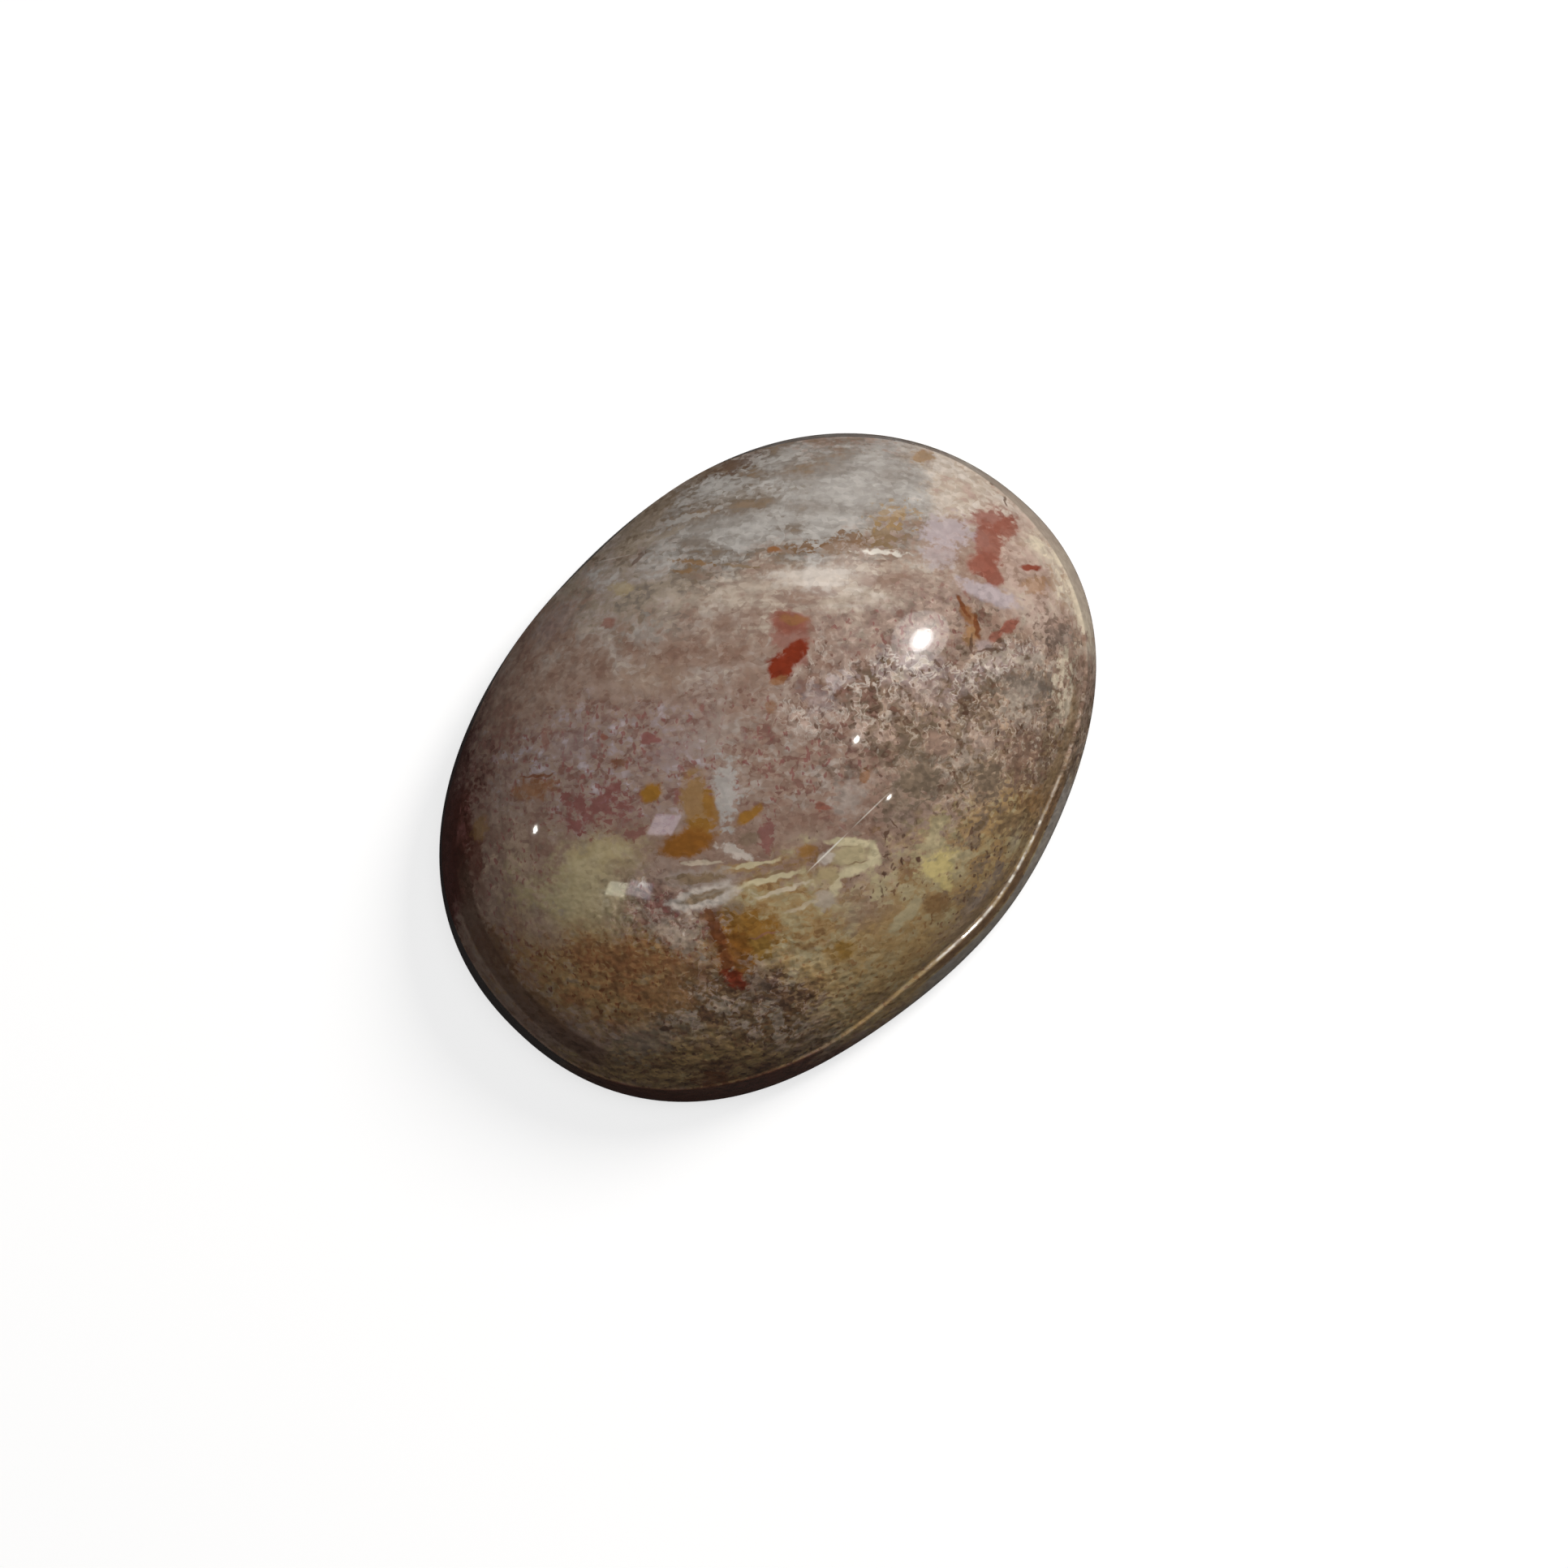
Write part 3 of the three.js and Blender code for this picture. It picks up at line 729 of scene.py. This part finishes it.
def make_camera():
    """Over the stone, leaning a little to the photograph's right, with the photograph's frame."""
    right, up, back = view_axes()
    data = bpy.data.cameras.new("camera")
    data.sensor_width = SENSOR_WIDTH
    data.lens = data.sensor_width * CAMERA_DISTANCE * PHOTO_PIXELS_PER_MM / PHOTO_SIDE
    data.clip_start = CLIP_START
    data.clip_end = CLIP_END
    camera = bpy.data.objects.new("camera", data)
    bpy.context.scene.collection.objects.link(camera)
    across = (PHOTO_SIDE / 2 - PHOTO_STONE_CENTRE[0]) / PHOTO_PIXELS_PER_MM
    upward = (PHOTO_STONE_CENTRE[1] - PHOTO_SIDE / 2) / PHOTO_PIXELS_PER_MM
    target = Vector((0, 0, GIRDLE_HEIGHT)) + across * right + upward * up
    turn = Matrix((right, up, back)).transposed().to_4x4()
    camera.matrix_world = Matrix.Translation((target + back * CAMERA_DISTANCE) * MM) @ turn
    bpy.context.scene.camera = camera
    return camera


def seen_on_stone(stone, camera, middle):
    """Where the camera sees the stone's skin behind a place given in millimetres of the picture,
    right and up of the stone's middle: the point and the way the skin faces there. Beside the
    stone it is the place itself, at the height of the girdle."""
    right, up, back = view_axes()
    place = (Vector((0, 0, GIRDLE_HEIGHT)) + middle[0] * right + middle[1] * up) * MM
    eye = camera.matrix_world.translation
    hit, point, normal, _ = stone.ray_cast(eye, (place - eye).normalized())
    return (point, normal) if hit else (place, back)


def in_bedding(point):
    """A point of the stone, in millimetres along the layers that run through it: the layers lie
    askew to the long axis, and level in the picture."""
    return Matrix.Rotation(LONG_AXIS_ANGLE, 3, "Z") @ point / MM


class Nodes:
    """Adds nodes to one tree. Each call names the node's inputs, and gives back its output."""

    def __init__(self, tree):
        self.tree = tree
        tree.nodes.clear()

    def add(self, kind, inputs, output, **settings):
        node = self.tree.nodes.new("ShaderNode" + kind)
        for name, value in settings.items():
            setattr(node, name, value)
        for name, value in inputs.items():
            if isinstance(value, bpy.types.NodeSocket):
                self.tree.links.new(value, node.inputs[name])
            else:
                node.inputs[name].default_value = value
        return node.outputs[output]

    def sum(self, a, b):
        return self.add("Math", {0: a, 1: b}, "Value", operation="ADD")

    def scaled(self, a, b):
        return self.add("Math", {0: a, 1: b}, "Value", operation="MULTIPLY")

    def noise(self, place, scale, detail, roughness, output="Fac"):
        inputs = {"Vector": place, "Scale": scale, "Detail": detail, "Roughness": roughness}
        return self.add("TexNoise", inputs, output)

    def stretched(self, place, turn, scale):
        inputs = {"Vector": place, "Rotation": (0, 0, math.radians(turn)), "Scale": scale}
        return self.add("Mapping", inputs, "Vector")

    def between(self, value, low, high, to_low=0.0, to_high=1.0):
        """The value drawn from one range into another, and smoothly stopped at its ends."""
        inputs = {
            "Value": value,
            "From Min": low,
            "From Max": high,
            "To Min": to_low,
            "To Max": to_high,
        }
        kind = {"interpolation_type": "SMOOTHSTEP", "clamp": False}
        return self.add("MapRange", inputs, "Result", **kind)

    def over(self, under, paint, share):
        inputs = {"Factor": share, "A": under, "B": paint}
        return self.add("Mix", inputs, "Result", data_type="RGBA")

    def ramp(self, value, stops):
        output = self.add("ValToRGB", {"Fac": value}, "Color")
        elements = output.node.color_ramp.elements
        for i, (position, name) in enumerate(stops):
            element = elements[i] if i < 2 else elements.new(position)
            element.position = position
            element.color = pigment(name)
        return output


def inclusion_group():
    """How much of an ellipsoid's matter there is at a place: all inside, none outside. Nearness is
    one at the ellipsoid's middle and nothing at the reach."""
    group = bpy.data.node_groups.new("inclusion", "ShaderNodeTree")
    for name, kind in (
        ("Place", "NodeSocketVector"),
        ("Middle", "NodeSocketVector"),
        ("Turn", "NodeSocketVector"),
        ("Half Size", "NodeSocketVector"),
        ("Grain", "NodeSocketFloat"),
        ("Raggedness", "NodeSocketFloat"),
        ("Inner", "NodeSocketFloat"),
        ("Outer", "NodeSocketFloat"),
        ("Strength", "NodeSocketFloat"),
    ):
        group.interface.new_socket(name, in_out="INPUT", socket_type=kind)
    group.interface.new_socket("Mask", in_out="OUTPUT", socket_type="NodeSocketFloat")
    n = Nodes(group)
    given = group.nodes.new("NodeGroupInput").outputs
    inputs = {
        "Vector": given["Place"],
        "Location": given["Middle"],
        "Rotation": given["Turn"],
        "Scale": given["Half Size"],
    }
    local = n.add("Mapping", inputs, "Vector", vector_type="TEXTURE")
    nearness = n.add("TexGradient", {"Vector": local}, "Fac", gradient_type="SPHERICAL")
    broken = n.add(
        "Math",
        {0: given["Grain"], 1: given["Raggedness"], 2: nearness},
        "Value",
        operation="MULTIPLY_ADD",
    )
    mask = n.between(broken, given["Outer"], given["Inner"], 0.0, given["Strength"])
    result = group.nodes.new("NodeGroupOutput")
    group.links.new(mask, result.inputs["Mask"])
    return group


# What each layer of the material is made with: its nodes, the inclusion group, the place in the
# stone, that place pushed about for zones, patches and marks, the grain that eats into edges, and
# a function that says where on the skin the camera sees a place of the picture.
Matter = namedtuple("Matter", "n group place zone_place patch_place mark_place ragged seen")


def inclusion(matter, place, middle, half_size, depth, turn, ragged, edge, strength):
    """How much of one inclusion there is at a place."""
    inner, outer = edge
    inputs = {
        "Place": place,
        "Middle": in_bedding(matter.seen(middle)),
        "Turn": (0, 0, math.radians(turn)),
        "Half Size": (half_size[0] * REACH, half_size[1] * REACH, depth * REACH),
        "Grain": matter.ragged,
        "Raggedness": -ragged / REACH,
        "Inner": 1 - inner / REACH,
        "Outer": 1 - outer / REACH,
        "Strength": strength,
    }
    output = matter.n.add("Group", {}, 0, node_tree=matter.group)
    node = output.node
    for name, value in inputs.items():
        if isinstance(value, bpy.types.NodeSocket):
            matter.n.tree.links.new(value, node.inputs[name])
        else:
            node.inputs[name].default_value = value
    return output


def weighed(n, parts):
    """The fields of the parts added together, each by its weight, round one half."""
    total = 0.5 - 0.5 * sum(weight for _, weight in parts)
    for field, weight in parts:
        total = n.add("Math", {0: field, 1: weight, 2: total}, "Value", operation="MULTIPLY_ADD")
    return total


def pushed_about(n, place, noise, reach):
    """The place moved by a noise's colour, at most by the reach either way."""
    doubled = n.add(
        "VectorMath", {0: noise, 1: (2 * reach,) * 3, 2: place}, "Vector", operation="MULTIPLY_ADD"
    )
    return n.add("VectorMath", {0: doubled, 1: (reach,) * 3}, "Vector", operation="SUBTRACT")


def random_cells(n, place, scale):
    """Two random numbers, the same all over each cell of the place."""
    cell = n.add("TexVoronoi", {"Vector": place, "Scale": scale}, "Color")
    parts = n.add("SeparateColor", {"Color": cell}, "Red").node.outputs
    return parts["Red"], parts["Green"]


def grain_fields(n, place, shaken):
    """The fields of grain that mottle the stone, each one half on the whole."""
    broad = n.noise(place, 0.5, 2, 0.5)
    blotch = n.noise(place, 1.3, 2, 0.5)
    granule = n.noise(place, 2.7, 1, 0.5)
    stroke = n.noise(n.stretched(shaken, -20, (2.1, 1.2, 1.7)), 1.0, 2, 0.55)
    small, tint = random_cells(n, shaken, 2.4)
    chip, fleck = random_cells(n, n.stretched(place, 6, (3.9, 6.3, 5.0)), 1.0)
    fibre = n.noise(n.stretched(place, -8, (0.28, 1.5, 0.8)), 1.0, 3, 0.65)
    thread = n.noise(n.stretched(shaken, -12, (0.55, 2.5, 1.0)), 1.0, 2, 0.55)
    return {
        "cloud": weighed(n, ((broad, 0.8), (blotch, 0.8), (small, 0.24), (chip, 0.14))),
        "grain": weighed(n, ((blotch, 0.9), (granule, 0.4), (small, 0.28), (fleck, 0.3))),
        "moss": weighed(n, ((stroke, 0.8), (blotch, 0.8), (tint, 0.4), (fleck, 0.16))),
        "fibre": weighed(n, ((fibre, 0.9), (broad, 0.6), (small, 0.12), (chip, 0.12))),
        "thread": weighed(n, ((thread, 1.0), (blotch, 0.5), (small, 0.2), (fleck, 0.16))),
        "granule": granule,
        "stroke": stroke,
        "chip": chip,
    }


def contour(n, field, level, narrow, wide, strength):
    """A thin line along the places where a field has the level."""
    off = n.add("Math", {0: field, 1: level}, "Value", operation="SUBTRACT")
    away = n.add("Math", {0: off}, "Value", operation="ABSOLUTE")
    return n.between(away, wide, narrow, 0.0, strength)


def how_mossy(matter):
    """How much the grain shows at a place. The mossy parts come before all other inclusions and
    use each of the three places once, because the renderer then has room for them all."""
    n = matter.n
    places = (matter.zone_place, matter.patch_place, matter.mark_place)
    mossy = PLAIN_GRAIN
    for place, (middle, half_size, turn) in zip(places, MOSSY_PARTS):
        part = inclusion(
            matter, place, middle, half_size, ZONE_DEPTH, turn, ZONE_RAGGEDNESS, MOSSY_EDGE,
            MOSSY_GRAIN,
        )
        mossy = n.sum(mossy, part)
    return n.between(mossy, 0.3, 1.0, PLAIN_GRAIN, 1.0)


def with_zones(matter, fields, threads, specks):
    """The ground of the stone with the broad zones over it."""
    n = matter.n
    colour = n.ramp(fields["cloud"], GROUND)
    for zone in ZONES:
        paint = n.ramp(fields[zone.field], zone.stops)
        if zone.threads:
            paint = n.over(paint, pigment(zone.threads), threads)
        if zone.specks:
            paint = n.over(paint, pigment(zone.specks), specks)
        mask = inclusion(
            matter, matter.zone_place, zone.middle, zone.half_size, ZONE_DEPTH, zone.turn,
            ZONE_RAGGEDNESS, ZONE_EDGE, 1.0,
        )
        colour = n.over(colour, paint, mask)
    return colour


def with_marks(matter, colour):
    """Patches, marks and hairlines, each kind over the one before."""
    layers = (
        (PATCHES, matter.patch_place, PATCH_EDGE),
        (MARKS, matter.mark_place, MARK_EDGE),
        (HAIRLINES, matter.place, HAIRLINE_EDGE),
    )
    for marks, place, edge in layers:
        for mark in marks:
            mask = inclusion(
                matter, place, mark.middle, mark.half_size, MARK_DEPTH, mark.turn,
                MARK_RAGGEDNESS * mark.ragged, edge, mark.strength,
            )
            colour = matter.n.over(colour, pigment(mark.pigment), mask)
    return colour


def with_rim(matter, colour, inside, granule):
    """The bands of the rim, each a line along the crease that shows on one side of the stone. Some
    are painted reflections, painted light and a painted highlight.
    """
    n = matter.n
    # The grain breaks the painted highlight along the crease into beads.
    beads = n.between(granule, 0.4, 0.55, 0.25, 1.0)
    for band in RIM_BANDS:
        side = inclusion(
            matter, matter.zone_place, band.middle, band.half_size, ZONE_DEPTH, band.turn,
            RIM_RAGGEDNESS, RIM_EDGE, band.strength,
        )
        middle = (band.inner + band.outer) / 2
        half = (band.outer - band.inner) / 2
        soft = min(0.04 + half * 0.3, 0.12)
        share = n.scaled(side, contour(n, inside, middle, half - soft, half, 1.0))
        if band.beaded:
            share = n.scaled(share, beads)
        colour = n.over(colour, pigment(band.pigment), share)
    return colour


def agate_material(stone, camera):
    """Grain, zones, inclusions and rim, one over the other, under a clear polish."""
    material = bpy.data.materials.new("polished_agate")
    material.use_nodes = True
    n = Nodes(material.node_tree)
    group = inclusion_group()
    own = n.add("TexCoord", {}, "Object")
    place = n.add(
        "Mapping",
        {"Vector": own, "Rotation": (0, 0, LONG_AXIS_ANGLE), "Scale": (1 / MM, 1 / MM, 1 / MM)},
        "Vector",
    )
    slow = n.noise(place, 0.45, 1, 0.5, "Color")
    quick = n.noise(place, 2.4, 1, 0.6, "Color")
    zone_place = pushed_about(n, place, slow, ZONE_PUSH)
    patch_place = pushed_about(n, place, quick, PATCH_PUSH)
    mark_place = pushed_about(n, place, quick, MARK_PUSH)
    jostled = n.add("Mapping", {"Vector": place, "Location": quick}, "Vector")
    fields = grain_fields(n, place, jostled)
    rough = n.noise(place, 3.6, 2, 0.65)
    ragged = n.sum(weighed(n, ((rough, 1.0), (fields["chip"], 0.3))), -0.5)
    threads = contour(n, fields["stroke"], 0.56, 0.012, 0.045, 0.7)
    speck = n.noise(n.stretched(place, 20, (5.0, 3.4, 4.2)), 1.0, 1, 0.5)
    specks = n.between(speck, 0.61, 0.68, 0.0, 0.8)

    def seen(middle):
        return seen_on_stone(stone, camera, middle)[0]

    matter = Matter(n, group, place, zone_place, patch_place, mark_place, ragged, seen)
    mossy = how_mossy(matter)
    colour = with_zones(matter, fields, threads, specks)
    colour = with_marks(matter, colour)
    inside = n.add("Attribute", {}, "Fac", attribute_name="inside_crease")
    colour = with_rim(matter, colour, inside, fields["granule"])

    mottle = weighed(n, ((fields["granule"], 0.8), (fields["stroke"], 0.5), (fields["chip"], 0.36)))
    swing = n.between(mottle, 0.2, 0.8, DARKEST_GRAIN, LIGHTEST_GRAIN)
    shade = n.add("Math", {0: swing, 1: mossy, 2: 1.0}, "Value", operation="MULTIPLY_ADD")
    shaded = n.add("VectorMath", {0: colour, "Scale": shade}, "Vector", operation="SCALE")
    relief = {"Height": fields["granule"], "Strength": mossy, "Distance": GRAIN_RELIEF * MM}
    bumped = n.add("Bump", relief, "Normal")
    back, bevel = (mix(ON_BACK, ON_BEVEL, share) for share in (0.3, 0.7))
    polish = n.between(inside, back, bevel, BACK_POLISH, 1.0)
    bsdf = n.add(
        "BsdfPrincipled",
        {
            "Base Color": shaded,
            "Roughness": BODY_ROUGHNESS,
            "Specular IOR Level": 0.0,
            "Normal": bumped,
            "Coat Weight": polish,
            "Coat Roughness": POLISH_ROUGHNESS,
            "Coat IOR": AGATE_IOR,
        },
        "BSDF",
    )
    output = n.tree.nodes.new("ShaderNodeOutputMaterial")
    n.tree.links.new(bsdf, output.inputs["Surface"])
    return material


def area_light(name, place, target, size, watts, colour, round_one=True, spun=0):
    """A lamp that faces its target. Its width lies along the photograph's right, and can be spun
    from there by an angle in degrees."""
    data = bpy.data.lights.new(name, "AREA")
    data.shape = "ELLIPSE" if round_one else "RECTANGLE"
    data.size, data.size_y = (side * MM for side in size)
    data.energy = watts
    data.color = colour
    away = (place - target).normalized()
    level, _, _ = view_axes()
    across = (level - level.dot(away) * away).normalized()
    turn = Matrix((across, away.cross(across), away)).transposed().to_4x4()
    turn = turn @ Matrix.Rotation(math.radians(spun), 4, "Z")
    light = bpy.data.objects.new(name, data)
    light.matrix_world = Matrix.Translation(place * MM) @ turn
    bpy.context.scene.collection.objects.link(light)
    return light


def toward(azimuth, tilt):
    """A direction: azimuth from the photograph's right towards its up, tilt from straight up."""
    spin = math.radians(azimuth) - LONG_AXIS_ANGLE
    lean = math.radians(tilt)
    return Vector((math.sin(lean) * math.cos(spin), math.sin(lean) * math.sin(spin), math.cos(lean)))


def make_lights(stone, camera):
    """Soft lamps that only light the stone, and small ones that only show in its polish."""
    middle = Vector((0, 0, THICKNESS / 2))
    for lamp in SOFT_LAMPS:
        place = middle + toward(lamp.azimuth, lamp.tilt) * lamp.distance
        size = (lamp.width, lamp.width)
        light = area_light(lamp.name, place, middle, size, lamp.watts, lamp.colour)
        light.visible_glossy = False
    eye = camera.matrix_world.translation
    for i, glint in enumerate(GLINTS):
        point, normal = seen_on_stone(stone, camera, glint.middle)
        ray = (point - eye).normalized()
        away = ray - 2 * ray.dot(normal) * normal
        place = point / MM + away * GLINT_DISTANCE
        light = area_light(
            f"glint_{i}", place, point / MM, glint.size, glint.watts, glint.colour, glint.round,
            glint.turn,
        )
        light.visible_diffuse = False


def camera_ray_mix(n, others, camera):
    """One value for what the camera sees, and another for what lights and mirrors see."""
    ray = n.add("LightPath", {}, "Is Camera Ray")
    return n.add("Mix", {"Factor": ray, "A": others, "B": camera}, "Result", data_type="RGBA")


def make_floor():
    bm = bmesh.new()
    bmesh.ops.create_circle(bm, cap_ends=True, segments=96, radius=FLOOR_RADIUS)
    mesh = bpy.data.meshes.new("floor")
    bm.to_mesh(mesh)
    bm.free()
    floor = bpy.data.objects.new("floor", mesh)
    bpy.context.scene.collection.objects.link(floor)
    material = bpy.data.materials.new("pale_floor")
    material.use_nodes = True
    n = Nodes(material.node_tree)
    bsdf = n.add(
        "BsdfPrincipled",
        {
            "Base Color": camera_ray_mix(n, FLOOR_LIT, FLOOR_SEEN),
            "Roughness": 0.9,
            "Specular IOR Level": 0.0,
            "Emission Color": camera_ray_mix(n, (0, 0, 0, 1), (1, 1, 1, 1)),
            "Emission Strength": FLOOR_GLOW,
        },
        "BSDF",
    )
    output = n.tree.nodes.new("ShaderNodeOutputMaterial")
    n.tree.links.new(bsdf, output.inputs["Surface"])
    floor.data.materials.append(material)


def make_world():
    world = bpy.data.worlds.new("studio")
    bpy.context.scene.world = world
    world.use_nodes = True
    n = Nodes(world.node_tree)
    colour = camera_ray_mix(n, ROOM_LIGHT, ROOM_SEEN)
    background = n.add("Background", {"Color": colour}, "Background")
    output = n.tree.nodes.new("ShaderNodeOutputWorld")
    n.tree.links.new(background, output.inputs["Surface"])


def main():
    bpy.context.scene.view_settings.view_transform = "Standard"
    camera = make_camera()
    stone = make_stone(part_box("agate_cabochon"))
    bpy.context.view_layer.update()
    stone.data.materials.append(agate_material(stone, camera))
    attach(stone, "root")
    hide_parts("agate_cabochon")
    make_lights(stone, camera)
    make_floor()
    make_world()


main()
